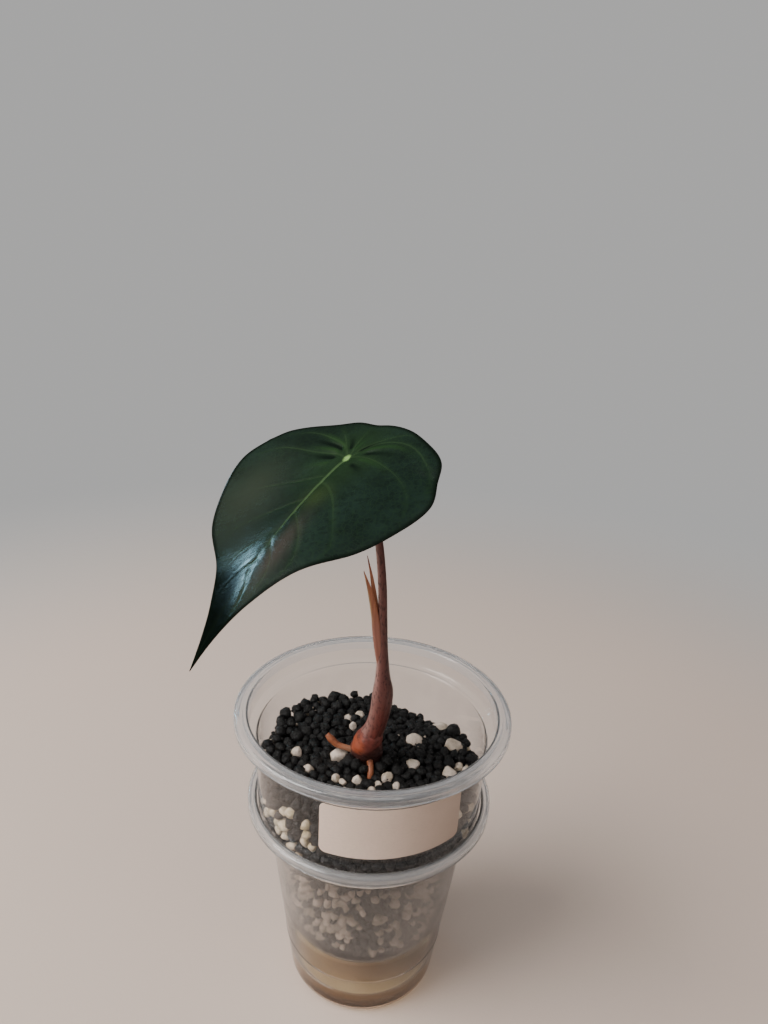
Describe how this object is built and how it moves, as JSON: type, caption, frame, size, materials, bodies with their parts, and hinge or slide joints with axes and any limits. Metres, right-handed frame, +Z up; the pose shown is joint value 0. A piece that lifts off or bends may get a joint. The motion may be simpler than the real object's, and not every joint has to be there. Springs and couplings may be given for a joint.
{
  "type": "potted alocasia",
  "caption": "Young alocasia with a dark arrow-shaped leaf on a pink-brown stem, growing in black pellet substrate in a clear cup that hangs in a clear water cup.",
  "frame": {"origin": "centre of the outer cup's flat base, on the surface it stands on", "axes": "+Z up along the cups' shared axis, -Y to the front, where the label is and the leaf tip points, +X to the right of that view"},
  "size_m": [0.0983, 0.1115, 0.2114],
  "materials": {
    "outer_cup_plastic": "clear, thin and glossy",
    "inner_cup_plastic": "clear, thin and glossy",
    "water": "clear, slightly yellow",
    "label_paper": "matt white",
    "pellets": "rough, black, with pale grains among them",
    "corm_skin": "satin, orange-red to brown",
    "petiole_skin": "satin, pink-brown with darker mottling",
    "sheath_skin": "papery, orange-brown",
    "leaf_skin": "waxy, dark green, paler at the veins"
  },
  "bodies": {
    "root": {"outer_cup": "outer_cup_plastic", "inner_cup": "inner_cup_plastic", "water": "water", "label": "label_paper", "substrate": "pellets", "corm_and_roots": "corm_skin", "petiole": "petiole_skin", "young_sheath": "sheath_skin", "leaf_blade": "leaf_skin"}
  },
  "joints": []
}
